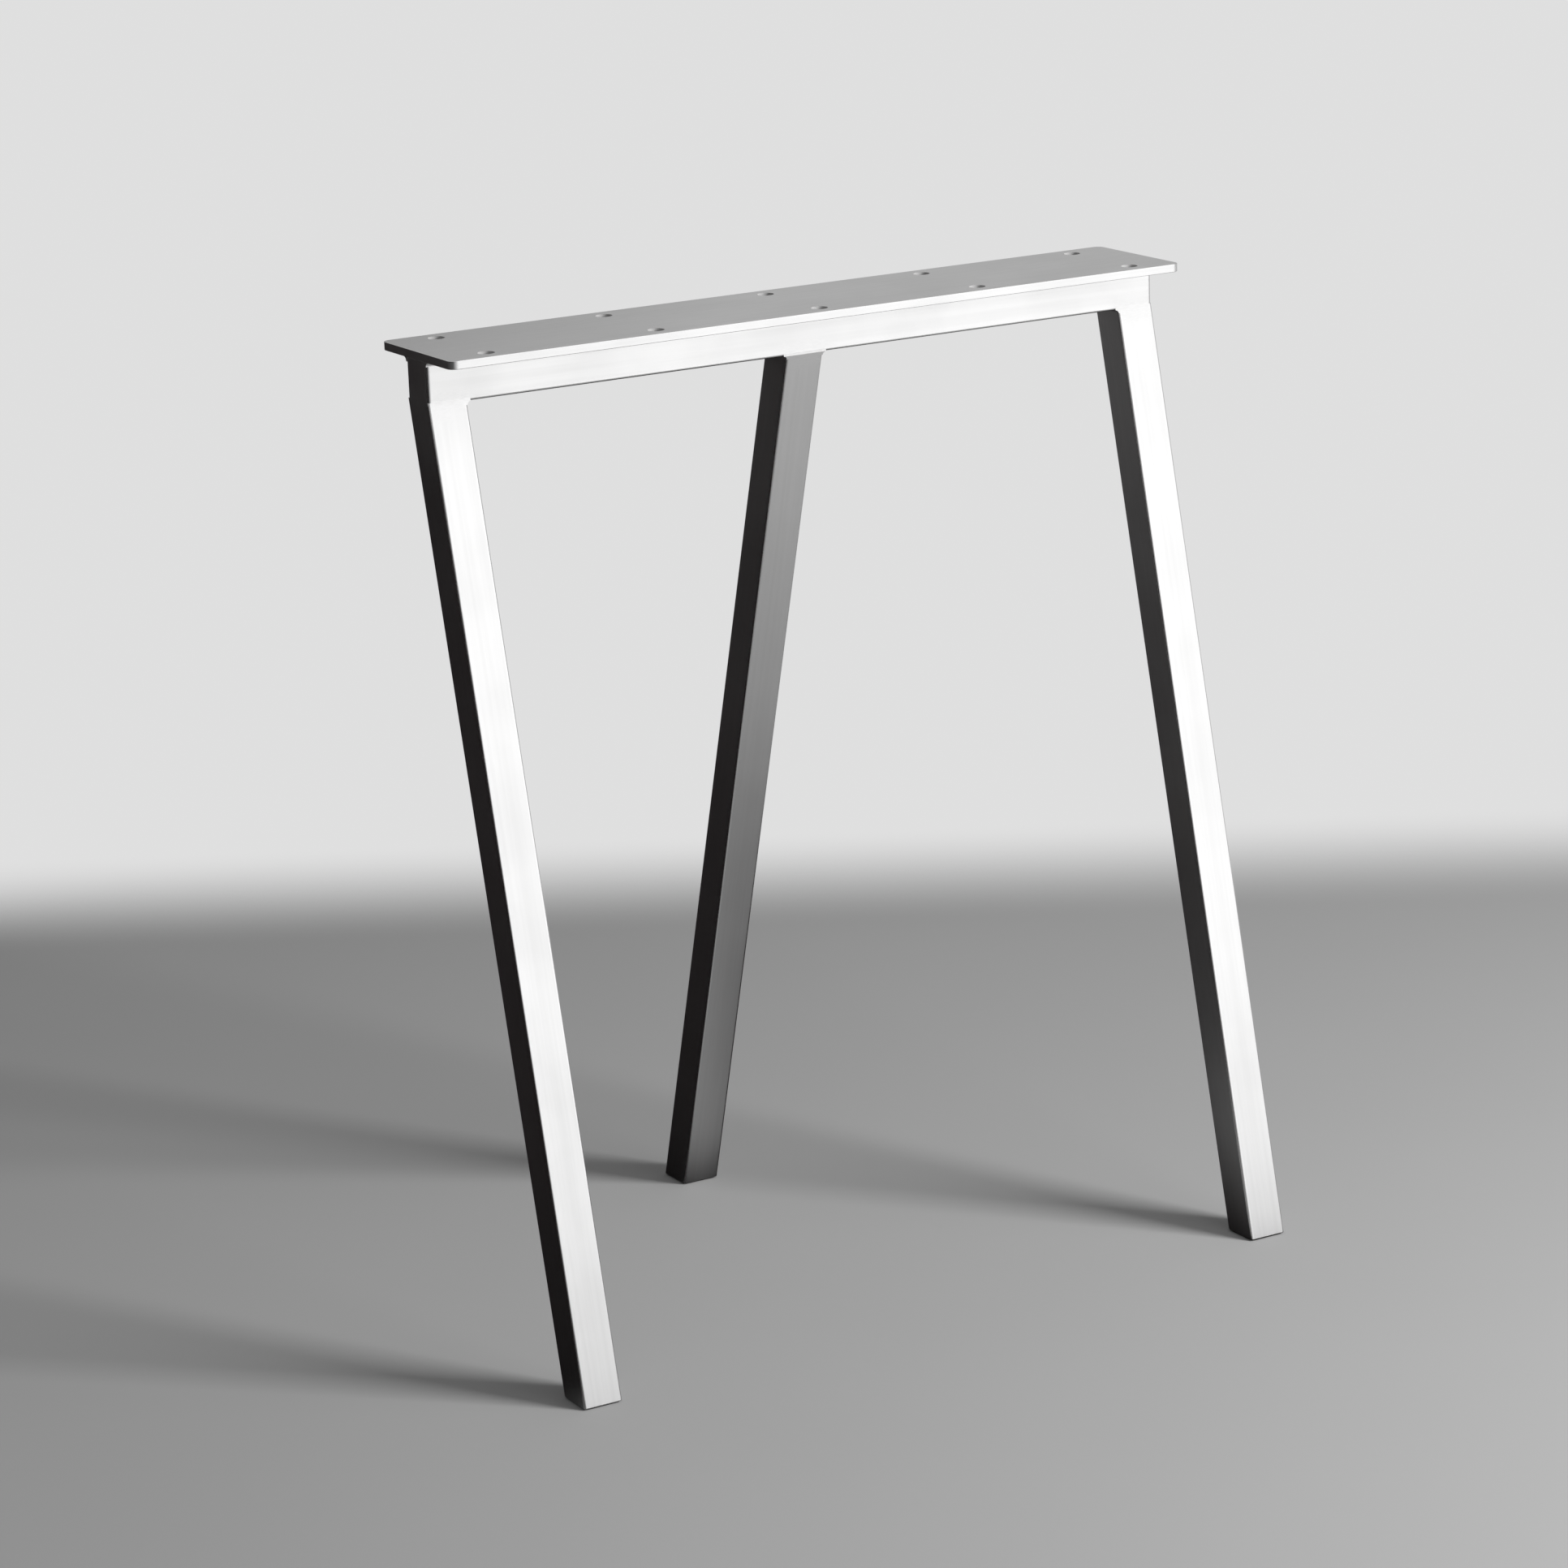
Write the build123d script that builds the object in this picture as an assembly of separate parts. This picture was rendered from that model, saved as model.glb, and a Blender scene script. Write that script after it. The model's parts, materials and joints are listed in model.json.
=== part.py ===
from build123d import *

import os
from math import cos, radians, tan

# Welded three-legged table leg in brushed stainless steel.
# Millimetres, +Z up. The origin is the centre of the plate's top face, where the table top rests.
# +X runs along the plate. The two front legs lean towards -Y and the rear leg leans towards +Y.

# Driving dimensions of the whole leg
HEIGHT = 720.0
FRONT_LEAN_DEG = 13.2
REAR_LEAN_DEG = 16.4

# Top plate
PLATE_LENGTH = 600.0
PLATE_WIDTH = 105.0
PLATE_THICK = 6.0
PLATE_CORNER_R = 6.0
PLATE_EDGE_BREAK = 0.4
HOLE_DIA = 12.0
HOLES_PER_ROW = 5
HOLE_END_MARGIN = 35.0
HOLE_SIDE_MARGIN = 15.0

# Square tube of the crossbar and the legs
TUBE = 30.0
TUBE_WALL = 1.5
TUBE_CORNER_R = 1.8

# Closing plates, welded on and ground flush
CAP_THICK = 3.0
CAP_EDGE_R = 2.8
FOOT_RIM_R = 0.6

# Floor pads
PAD_THICK = 1.0
PAD_INSET = 1.5
PAD_CORNER_R = 2.0

# Welds: the leg length of each concave fillet
SEAM_LEG = 3.0
JOINT_LEG = 2.5

# Levels and lengths worked out from the sizes above
FLOOR_Z = -HEIGHT
PAD_TOP_Z = FLOOR_Z + PAD_THICK
CAP_TOP_Z = PAD_TOP_Z + CAP_THICK
BAR_TOP_Z = -PLATE_THICK
BAR_BOTTOM_Z = BAR_TOP_Z - TUBE
BAR_MID_Z = BAR_TOP_Z - TUBE / 2
TUBE_HALF = TUBE / 2
BAR_TUBE_LENGTH = PLATE_LENGTH - 2 * CAP_THICK
GROOVE_TOP_Z = BAR_BOTTOM_Z + TUBE_CORNER_R
FILLET_LOW_Z = BAR_BOTTOM_Z - JOINT_LEG
HOLE_PITCH = (PLATE_LENGTH - 2 * HOLE_END_MARGIN) / (HOLES_PER_ROW - 1)
ROW_GAP = PLATE_WIDTH - 2 * HOLE_SIDE_MARGIN

# Each leg: name, middle of its tube in X, lean in degrees from upright, and the way its foot goes in Y
OUTER_LEG_X = (PLATE_LENGTH - TUBE) / 2
TOWARDS_FRONT = -1
TOWARDS_BACK = 1
LEGS = [
    ("front_left", -OUTER_LEG_X, FRONT_LEAN_DEG, TOWARDS_FRONT),
    ("front_right", OUTER_LEG_X, FRONT_LEAN_DEG, TOWARDS_FRONT),
    ("rear", 0.0, REAR_LEAN_DEG, TOWARDS_BACK),
]


def plate():
    """Flat plate with rounded corners, lightly broken edges and two rows of holes."""
    outline = RectangleRounded(PLATE_LENGTH, PLATE_WIDTH, PLATE_CORNER_R)
    body = extrude(outline, -PLATE_THICK)
    faces = body.faces().sort_by(Axis.Z)
    body = fillet(faces[0].edges() + faces[-1].edges(), PLATE_EDGE_BREAK)
    drill = Cylinder(HOLE_DIA / 2, PLATE_THICK, align=(Align.CENTER, Align.CENTER, Align.MAX))
    return body - GridLocations(HOLE_PITCH, ROW_GAP, HOLES_PER_ROW, 2) * drill


def square_section():
    """Outside of the square tube's section."""
    return RectangleRounded(TUBE, TUBE, TUBE_CORNER_R)


def hollow_section():
    """The tube's section with its bore, whose corners follow the outer ones."""
    bore = TUBE - 2 * TUBE_WALL
    return square_section() - RectangleRounded(bore, bore, TUBE_CORNER_R - TUBE_WALL)


def along_bar(section, length):
    """A section pushed out along X, half each way, with its middle on the crossbar's axis."""
    plane = Plane(origin=(0, 0, BAR_MID_Z), x_dir=(0, 1, 0), z_dir=(1, 0, 0))
    return extrude(plane * section, length / 2, both=True)


def end_cap(side):
    """Square closing plate on the crossbar. Its two upright outer edges are ground round."""
    centre_x = side * (PLATE_LENGTH - CAP_THICK) / 2
    body = Pos(centre_x, 0, BAR_MID_Z) * Box(CAP_THICK, TUBE, TUBE)
    end_face = body.faces().sort_by(Axis.X)[-1 if side > 0 else 0]
    return fillet(end_face.edges().filter_by(Axis.Z), CAP_EDGE_R)


def leaning(section, x, lean_deg, way, high_z, low_z):
    """A square-to-its-axis section run down a leg's slope and cut level at two heights.

    The leg's axis passes through the middle of the crossbar's underside.
    """
    slope = radians(lean_deg)
    axis = Vector(0, way * tan(slope), -1).normalized()
    # A tube's width to spare at each end leaves room for the level cuts.
    start = Vector(x, 0, BAR_BOTTOM_Z) + axis * ((BAR_BOTTOM_Z - high_z - TUBE) / cos(slope))
    run = extrude(
        Plane(origin=start, x_dir=(1, 0, 0), z_dir=axis) * section,
        (high_z - low_z + 2 * TUBE) / cos(slope),
    )
    below_top = run.split(Plane(origin=(0, 0, high_z)), keep=Keep.BOTTOM)
    return below_top.split(Plane(origin=(0, 0, low_z)), keep=Keep.TOP)


def foot_centre_y(lean_deg, way, z):
    """Where a leg's axis is, across the plate, at a height."""
    return way * tan(radians(lean_deg)) * (BAR_BOTTOM_Z - z)


def foot_cap(x, lean_deg, way):
    """Closing plate under a leg. It follows the leg's slope, and its rim at the floor is eased."""
    body = leaning(square_section(), x, lean_deg, way, CAP_TOP_Z, PAD_TOP_Z)
    rim = body.faces().sort_by(Axis.Z)[0].edges()
    return fillet(rim, FOOT_RIM_R)


def foot_pad(x, lean_deg, way):
    """Thin pad stuck under a foot, a little smaller than the foot all round."""
    depth = TUBE / cos(radians(lean_deg))
    outline = RectangleRounded(TUBE - 2 * PAD_INSET, depth - 2 * PAD_INSET, PAD_CORNER_R)
    return Pos(x, foot_centre_y(lean_deg, way, PAD_TOP_Z), FLOOR_Z) * extrude(outline, PAD_THICK)


def plate_seam(side, crossbar):
    """Concave weld that fills the corner between the crossbar's side and the plate, end to end."""
    inner_y = side * (TUBE_HALF - TUBE_CORNER_R)
    outer_y = side * (TUBE_HALF + SEAM_LEG)
    low_z = BAR_TOP_Z - SEAM_LEG
    block = Polyline(
        (inner_y, BAR_TOP_Z), (outer_y, BAR_TOP_Z), (outer_y, low_z), (inner_y, low_z), close=True
    )
    section = make_face(block) - Pos(outer_y, low_z) * Circle(SEAM_LEG)
    return extrude(Plane.YZ * section, PLATE_LENGTH / 2, both=True) - crossbar


def joint_weld(x, lean_deg, way, fillet_sides, leg, crossbar):
    """Weld at a leg's top, ground flush in front and behind and left as a fillet at the sides.

    It fills the groove between the tube's rounded lower corners and the leg's cut end, and runs
    down each open side of the leg as a concave fillet.
    """
    rise = tan(radians(lean_deg))
    half_cut = TUBE_HALF / cos(radians(lean_deg))
    # Seen from the crossbar's end: on the side that the foot goes to, the leg's face runs up until
    # it meets the crossbar's side, and on the other side the leg's cut end stands a little proud.
    meet_z = BAR_BOTTOM_Z + (half_cut - TUBE_HALF) / rise
    profile = Polyline(
        (way * (half_cut + JOINT_LEG * rise), FILLET_LOW_Z),
        (way * TUBE_HALF, meet_z),
        (way * TUBE_HALF, GROOVE_TOP_Z),
        (-way * TUBE_HALF, GROOVE_TOP_Z),
        (-way * half_cut, BAR_BOTTOM_Z),
        (-way * (half_cut - JOINT_LEG * rise), FILLET_LOW_Z),
        close=True,
    )
    ground_faces = extrude(Plane.YZ * make_face(profile), PLATE_LENGTH, both=True)
    metal = leaning(square_section(), x, lean_deg, way, GROOVE_TOP_Z, BAR_BOTTOM_Z)
    for side in fillet_sides:
        leg_side_x = x + side * TUBE_HALF
        strip_x = leg_side_x + side * (JOINT_LEG - TUBE_CORNER_R) / 2
        strip_z = (GROOVE_TOP_Z + FILLET_LOW_Z) / 2
        strip = Pos(strip_x, 0, strip_z) * Box(
            JOINT_LEG + TUBE_CORNER_R, 2 * TUBE, GROOVE_TOP_Z - FILLET_LOW_Z
        )
        hollow = Pos(leg_side_x + side * JOINT_LEG, 0, FILLET_LOW_Z) * Rot(90, 0, 0) * Cylinder(
            JOINT_LEG, 3 * TUBE
        )
        metal += strip - hollow
    return (metal & ground_faces) - crossbar - leg


def write(name, body):
    """One file for each piece, with its size printed."""
    body.label = name
    export_step(body, f"parts/{name}.step")
    size = body.bounding_box().size
    volume_cm3 = body.volume / 1000
    print(f"{name}: {volume_cm3:.2f} cm3, {size.X:.1f} x {size.Y:.1f} x {size.Z:.1f} mm")


os.makedirs("parts", exist_ok=True)

write("top_plate", plate())

bar_tube = along_bar(hollow_section(), BAR_TUBE_LENGTH)
cap_left = end_cap(-1)
cap_right = end_cap(1)
write("crossbar_tube", bar_tube)
write("crossbar_cap_left", cap_left)
write("crossbar_cap_right", cap_right)

# The welds are cut to the crossbar's outside, caps and all.
crossbar_outside = along_bar(square_section(), BAR_TUBE_LENGTH) + cap_left + cap_right
write("weld_plate_front", plate_seam(-1, crossbar_outside))
write("weld_plate_back", plate_seam(1, crossbar_outside))

for name, x, lean, way in LEGS:
    leg_outside = leaning(square_section(), x, lean, way, BAR_BOTTOM_Z, PAD_TOP_Z)
    write(f"leg_{name}", leaning(hollow_section(), x, lean, way, BAR_BOTTOM_Z, CAP_TOP_Z))
    write(f"foot_cap_{name}", foot_cap(x, lean, way))
    write(f"foot_pad_{name}", foot_pad(x, lean, way))
    # An outer leg's far side is flush with the crossbar's end, so only its inner side has a fillet.
    open_sides = [side for side in (-1, 1) if abs(x + side * TUBE_HALF) < PLATE_LENGTH / 2]
    write(f"weld_leg_{name}", joint_weld(x, lean, way, open_sides, leg_outside, crossbar_outside))
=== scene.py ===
# %% [markdown]
# # A welded table leg in brushed stainless steel
# One flat plate, one square tube under it and three leaning square legs, all welded and then
# dressed to a satin finish. The shapes come ready made as solids. What Blender adds is the
# finish: the grain that the belt leaves, the dressed patches at the welds, the polished corners
# and the thin rubber pads. The solids are loaded first, and nothing here moves them.

# %% Load the solids
import json
import math

import bpy
import numpy as np
from mathutils import Matrix, Vector


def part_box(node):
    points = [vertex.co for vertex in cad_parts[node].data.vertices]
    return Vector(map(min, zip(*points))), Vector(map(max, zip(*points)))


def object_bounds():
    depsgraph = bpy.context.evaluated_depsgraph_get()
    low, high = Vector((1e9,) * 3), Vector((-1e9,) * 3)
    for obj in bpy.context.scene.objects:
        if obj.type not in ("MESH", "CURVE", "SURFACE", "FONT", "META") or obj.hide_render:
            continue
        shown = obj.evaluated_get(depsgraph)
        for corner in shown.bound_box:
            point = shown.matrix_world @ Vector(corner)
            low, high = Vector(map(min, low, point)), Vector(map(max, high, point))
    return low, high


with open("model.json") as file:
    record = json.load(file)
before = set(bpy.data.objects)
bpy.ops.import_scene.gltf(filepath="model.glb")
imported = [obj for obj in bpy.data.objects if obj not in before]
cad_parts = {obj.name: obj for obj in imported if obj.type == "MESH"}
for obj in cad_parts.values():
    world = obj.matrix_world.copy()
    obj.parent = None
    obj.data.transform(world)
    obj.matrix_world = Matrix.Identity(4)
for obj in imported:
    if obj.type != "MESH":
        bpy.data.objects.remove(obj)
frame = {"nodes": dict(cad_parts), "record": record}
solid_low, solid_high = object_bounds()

MM_PER_METRE = 1000
nodes = frame["nodes"]
scene = bpy.context.scene
solid_size = [round((high - low) * MM_PER_METRE, 1) for low, high in zip(solid_low, solid_high)]
print("pieces:", len(nodes), "size in mm:", solid_size)

# %% [markdown]
# ## The sizes that the finishes need
# A brushed finish follows the metal, so each material has to know where its tube runs and how
# it leans. They could be typed in again, but then a change to the solids would leave the grain
# behind. The leans and the levels are measured from the loaded pieces instead.

# %% Measure the tubes
bar_low, bar_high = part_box("crossbar_tube")
TUBE = bar_high.z - bar_low.z
TUBE_HALF = TUBE / 2
BAR_MIDDLE = Vector((0.0, 0.0, (bar_low.z + bar_high.z) / 2))
BAR_UNDERSIDE = bar_low.z
BAR_HALF_LENGTH = solid_high.x
FLOOR_Z = solid_low.z
OUTER_LEG_X = BAR_HALF_LENGTH - TUBE_HALF
LEAN_ROUNDS = 20


def lean_of(leg):
    """A leg's lean about the X axis, from its box. The box is as deep as the tube's level cut
    plus the way that the foot is thrown out, and the cut is deeper the more the leg leans. So
    the two are worked out in turn, starting from no lean, until they settle.
    """
    low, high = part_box(leg)
    drop = high.z - low.z
    forward = high.y + low.y < 0
    angle = 0.0
    for _ in range(LEAN_ROUNDS):
        throw = (high.y - low.y) - TUBE / math.cos(angle)
        angle = math.atan2(throw, drop)
    return -angle if forward else angle


FRONT_LEAN = lean_of("leg_front_left")
REAR_LEAN = lean_of("leg_rear")
lean_degrees = [round(math.degrees(lean), 2) for lean in (FRONT_LEAN, REAR_LEAN)]
print("leans of the front and the rear legs in degrees:", lean_degrees)

# %% [markdown]
# ## The camera
# The photograph was taken from the left of the plate's long side, from above the plate, with a
# long lens, so parallel edges hardly close up. A camera can be pointed with a Track To
# constraint, but this one is also rolled by two degrees, so its three axes are worked out and
# put into its matrix. The lens is centred a little below the middle of the frame, which is a
# vertical shift.

# %% Place the camera
CAMERA_PLACE = Vector((-1.769733, -2.998233, 0.591999))
CAMERA_YAW = math.radians(30.216)
CAMERA_PITCH = math.radians(-16.496)
CAMERA_ROLL = math.radians(-1.973)
FRAME_PIXELS = 1932
FOCAL_PIXELS = 6068.147
# The row of the frame that the lens is centred on, counted from the top.
CENTRE_ROW = 1100
SENSOR_WIDTH = 36.0
NEAREST_SEEN, FARTHEST_SEEN = 0.1, 60.0


def camera_matrix(place, yaw, pitch, roll):
    """Looks along the yaw and pitch direction, then turns the right and up axes by the roll."""
    forward = Vector((
        math.sin(yaw) * math.cos(pitch),
        math.cos(yaw) * math.cos(pitch),
        math.sin(pitch),
    ))
    level_right = Vector((math.cos(yaw), -math.sin(yaw), 0.0))
    level_up = level_right.cross(forward)
    right = level_right * math.cos(roll) + level_up * math.sin(roll)
    up = level_up * math.cos(roll) - level_right * math.sin(roll)
    turn = Matrix((right, up, -forward)).transposed()
    return Matrix.Translation(place) @ turn.to_4x4()


camera_data = bpy.data.cameras.new("camera")
camera_data.sensor_width = SENSOR_WIDTH
camera_data.lens = FOCAL_PIXELS / FRAME_PIXELS * SENSOR_WIDTH
camera_data.shift_y = (CENTRE_ROW - FRAME_PIXELS / 2) / FRAME_PIXELS
camera_data.clip_start = NEAREST_SEEN
camera_data.clip_end = FARTHEST_SEEN
camera = bpy.data.objects.new("camera", camera_data)
camera.matrix_world = camera_matrix(CAMERA_PLACE, CAMERA_YAW, CAMERA_PITCH, CAMERA_ROLL)
scene.collection.objects.link(camera)
scene.camera = camera
print("lens in mm:", round(camera_data.lens, 1))

# %% [markdown]
# ## Short ways to build node trees
# A material can be wired by hand in the Shader Editor. In code the same tree is a list of
# nodes and links, so a few short helpers keep it readable. The first adds a node and fills its
# sockets. The others do arithmetic, ease a value from one level to another, and blend two
# numbers or two colours.

# %% Nodes, numbers and colours
def add_node(tree, kind, inputs=None, **settings):
    """Adds one node. Each input is either a plain value or the socket that feeds it."""
    made = tree.nodes.new(kind)
    for key, value in settings.items():
        setattr(made, key, value)
    for key, value in (inputs or {}).items():
        if isinstance(value, bpy.types.NodeSocket):
            tree.links.new(value, made.inputs[key])
        else:
            made.inputs[key].default_value = value
    return made


def arithmetic(tree, operation, first, second=0.0):
    """One Math node: first and second joined by the operation."""
    return add_node(tree, "ShaderNodeMath", {0: first, 1: second}, operation=operation).outputs[0]


def ease(tree, value, start, end, at_start=0.0, at_end=1.0):
    """Goes from at_start to at_end while the value goes from start to end, smooth at both."""
    inputs = {"Value": value, "From Min": start, "From Max": end}
    inputs.update({"To Min": at_start, "To Max": at_end})
    made = add_node(tree, "ShaderNodeMapRange", inputs, interpolation_type="SMOOTHSTEP")
    return made.outputs["Result"]


def blend(tree, share, first, second):
    """The first number where the share is 0, and the second where it is 1."""
    inputs = {"Factor": share, "A": first, "B": second}
    return add_node(tree, "ShaderNodeMix", inputs, data_type="FLOAT").outputs["Result"]


def blend_colour(tree, share, first, second):
    """The first colour where the share is 0, and the second where it is 1."""
    inputs = {"Factor": share, "A": first, "B": second}
    made = add_node(tree, "ShaderNodeMix", inputs, data_type="RGBA", clamp_factor=True)
    return made.outputs["Result"]


# %% [markdown]
# ## Where a pattern lies, and how large it is
# A noise has no size of its own: it has one feature for each unit of its coordinates. Object
# coordinates are in metres here, so a Mapping node can turn them along a leaning tube and count
# them in marks. A noise after it is then as long and as wide as the marks that it stands for.

# %% Places and patterns
FRAME_ORIGIN = (0.0, 0.0, 0.0)
NO_TILT = 0.0
NOISE_LOW, NOISE_HIGH = 0.30, 0.70
SIMPLE, MIXED, DETAILED = 1.0, 2.0, 3.0
SOFT, CRISP = 0.5, 0.6


def object_place(tree):
    """The point's place on the object, in metres."""
    return add_node(tree, "ShaderNodeTexCoord").outputs["Object"]


def axes_of(tree, vector):
    """The three numbers of a vector, as the sockets X, Y and Z."""
    return add_node(tree, "ShaderNodeSeparateXYZ", {0: vector}).outputs


def placed(tree, origin, tilt, feature=(1.0, 1.0, 1.0)):
    """Object coordinates measured from the origin, turned back by the tilt about X and counted
    in feature sizes, so that a noise after it has features that large in metres.
    """
    inputs = {"Vector": object_place(tree), "Location": origin}
    inputs.update({"Rotation": (tilt, 0.0, 0.0), "Scale": feature})
    return add_node(tree, "ShaderNodeMapping", inputs, vector_type="TEXTURE").outputs["Vector"]


def noise(tree, vector, detail=MIXED, roughness=SOFT):
    """Noise from about NOISE_LOW to NOISE_HIGH, with one feature for each unit of the vector.
    The detail counts the finer layers on it, and the roughness is how much each adds.
    """
    inputs = {"Vector": vector, "Scale": 1.0, "Detail": detail, "Roughness": roughness}
    return add_node(tree, "ShaderNodeTexNoise", inputs).outputs[0]


def clouds(tree, size, detail, roughness=SOFT):
    """Noise that is as long as it is wide, with features of one size in metres."""
    feature = (size, size, size)
    return noise(tree, placed(tree, FRAME_ORIGIN, NO_TILT, feature), detail, roughness)


print("noise runs from about", NOISE_LOW, "to", NOISE_HIGH)

# %% [markdown]
# ## How a material begins, and how its relief is wired
# Every finish starts as a new material with its main shader, and ends with a bump. A bump only
# tilts the shading, as a height in metres would, and leaves the outline alone. That suits marks
# that are shallower than a sheet of paper is thick. Anything deeper belongs in the shape.

# %% Materials and relief
def new_finish(name):
    """An empty material, its tree and its main shader."""
    material = bpy.data.materials.new(name)
    material.use_nodes = True
    tree = material.node_tree
    return material, tree, tree.nodes["Principled BSDF"]


def relief(tree, shader, height, strength):
    """Tilts the shading as a surface of that height in metres does, as much as the strength."""
    inputs = {"Strength": strength, "Distance": 1.0, "Height": height}
    bump = add_node(tree, "ShaderNodeBump", inputs)
    tree.links.new(bump.outputs["Normal"], shader.inputs["Normal"])


# %% [markdown]
# ## How brushed steel is put together
# An abrasive belt runs along the tube and leaves scratches a tenth or two of a millimetre wide
# and a centimetre or more long. Close up they are lines. From across a room they only widen
# the highlight and leave faint streaks. An image texture would give one of these, and repeat.
# Noise that is stretched along the metal gives all three: a fine grain, a few deeper
# scratches, and broad streaks, each as long and as wide as it is on real metal.

# %% Belt grain
HAIR_WIDTH, HAIR_LENGTH = 0.00016, 0.014
SCRATCH_WIDTH, SCRATCH_LENGTH = 0.0005, 0.055
STREAK_WIDTH, STREAK_LENGTH = 0.0035, 0.24
SCRATCH_FROM, SCRATCH_FULL = 0.60, 0.70
ALONG_X, ALONG_Y, ALONG_Z = 0, 1, 2


def stretched(width, length, along):
    """Feature sizes with the length on one axis and the width on the other two."""
    return tuple(length if axis == along else width for axis in range(3))


def belt_grain(tree, origin, tilt, along):
    """The three noises of a belt-brushed face: hairlines, a few deeper scratches, and streaks."""
    hair_size = stretched(HAIR_WIDTH, HAIR_LENGTH, along)
    scratch_size = stretched(SCRATCH_WIDTH, SCRATCH_LENGTH, along)
    streak_size = stretched(STREAK_WIDTH, STREAK_LENGTH, along)
    hair = noise(tree, placed(tree, origin, tilt, hair_size), DETAILED, CRISP)
    cut = noise(tree, placed(tree, origin, tilt, scratch_size), SIMPLE)
    scratch = ease(tree, cut, SCRATCH_FROM, SCRATCH_FULL)
    streak = noise(tree, placed(tree, origin, tilt, streak_size), DETAILED, CRISP)
    return hair, scratch, streak


grain_widths = (HAIR_WIDTH, SCRATCH_WIDTH, STREAK_WIDTH)
grain_widths_mm = [round(width * MM_PER_METRE, 2) for width in grain_widths]
print("widths of hairlines, scratches and streaks in mm:", grain_widths_mm)

# %% [markdown]
# ## Where a disc took over from the belt
# No belt reaches into a corner. Round each joint the weld and a little of the tubes were
# dressed with a flap disc, which leaves short scratches that cross. The patch could be painted
# by hand, but its place is known: it is near the line where a leg meets the crossbar. The
# distance to that line, shifted a little by noise, gives a patch with a natural edge.

# %% Disc grain and the dressed patches
DISC_WIDTH, DISC_LENGTH = 0.0003, 0.0035
# Both tilts are in radians.
DISC_TILT, CROSSING_TILT = 0.6, -0.7
CROSSING_ORIGIN = (0.01, 0.02, 0.0)
DISC_LOW, DISC_HIGH = 0.38, 0.62
PATCH_WANDER_SIZE, PATCH_WANDER = 0.012, 0.003
PATCH_FULL_X, PATCH_END_X = 0.014, 0.027
PATCH_FULL_Z, PATCH_END_Z = 0.004, 0.015


def disc_grain(tree):
    """The short crossing scratches that a flap disc leaves: the mean of two sets of noise, each
    thin on an axis of its own and turned about X by its own tilt.
    """
    one_size = (DISC_LENGTH, DISC_WIDTH, DISC_LENGTH)
    other_size = (DISC_LENGTH, DISC_LENGTH, DISC_WIDTH)
    one = noise(tree, placed(tree, FRAME_ORIGIN, DISC_TILT, one_size), MIXED, CRISP)
    other = noise(tree, placed(tree, CROSSING_ORIGIN, CROSSING_TILT, other_size), MIXED, CRISP)
    return arithmetic(tree, "MULTIPLY", arithmetic(tree, "ADD", one, other), 0.5)


def near_joint(tree):
    """1 along the line where a leg meets the crossbar, fading to 0 within 15 mm of it. Across X
    the distance is taken to the nearer of the middle leg and the two outer legs, which mirror.
    """
    axes = axes_of(tree, object_place(tree))
    from_middle = arithmetic(tree, "ABSOLUTE", axes["X"])
    past_outer = arithmetic(tree, "SUBTRACT", from_middle, OUTER_LEG_X)
    across = arithmetic(tree, "MINIMUM", from_middle, arithmetic(tree, "ABSOLUTE", past_outer))
    above = arithmetic(tree, "ABSOLUTE", arithmetic(tree, "SUBTRACT", axes["Z"], BAR_UNDERSIDE))
    wander = clouds(tree, PATCH_WANDER_SIZE, MIXED)
    shift = ease(tree, wander, NOISE_LOW, NOISE_HIGH, -PATCH_WANDER, PATCH_WANDER)
    shifted_x = arithmetic(tree, "ADD", across, shift)
    shifted_z = arithmetic(tree, "ADD", above, shift)
    in_x = ease(tree, shifted_x, PATCH_FULL_X, PATCH_END_X, 1.0, 0.0)
    in_z = ease(tree, shifted_z, PATCH_FULL_Z, PATCH_END_Z, 1.0, 0.0)
    return arithmetic(tree, "MULTIPLY", in_x, in_z)


print("dressed up to this far from a joint, in mm:", PATCH_END_Z * MM_PER_METRE)

# %% [markdown]
# ## From grain to a finished surface
# The same three steps finish every steel piece. The streaks shift the colour a little between
# a darker and a lighter steel. The roughness follows the streaks and faint clouds from
# handling, and falls on polished edges. The grain goes in last, as a bump of a few thousandths
# of a millimetre, which is deep enough to catch light and too shallow to see as a shape.

# %% Colour of the steel
STEEL_DARK = (0.572, 0.571, 0.571, 1.0)
STEEL_LIGHT = (0.596, 0.595, 0.595, 1.0)
SCRATCH_DARKENS = 0.10
RUBBING_LIGHTENS = 0.35


def steel_colour(tree, scratch, streak, disc, polish, dressed, painted_shade):
    """From the dark to the light steel by the streaks, or by the disc's scratches where it was
    dressed. Scratches darken it, rubbing lightens it, and the painted shade scales all of it down
    where it is less than 1.
    """
    brushed_tone = ease(tree, streak, NOISE_LOW, NOISE_HIGH)
    disc_tone = ease(tree, disc, DISC_LOW, DISC_HIGH)
    tone = blend(tree, dressed, brushed_tone, disc_tone)
    darker = arithmetic(tree, "MULTIPLY", scratch, SCRATCH_DARKENS)
    tone = arithmetic(tree, "SUBTRACT", tone, darker)
    lighter = arithmetic(tree, "MULTIPLY", polish, RUBBING_LIGHTENS)
    tone = arithmetic(tree, "ADD", tone, lighter)
    colour = blend_colour(tree, tone, STEEL_DARK, STEEL_LIGHT)
    inputs = {0: colour, "Scale": painted_shade}
    return add_node(tree, "ShaderNodeVectorMath", inputs, operation="SCALE").outputs["Vector"]


print("lightest steel:", STEEL_LIGHT[:3], "darkest:", STEEL_DARK[:3])

# %% [markdown]
# Roughness says how blurred the steel mirrors things. A satin finish shows no picture of what
# stands around it, only its light and dark parts. One number for the whole tube would look
# like paint, so streaks, handling and rubbing each change it by a little.

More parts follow.
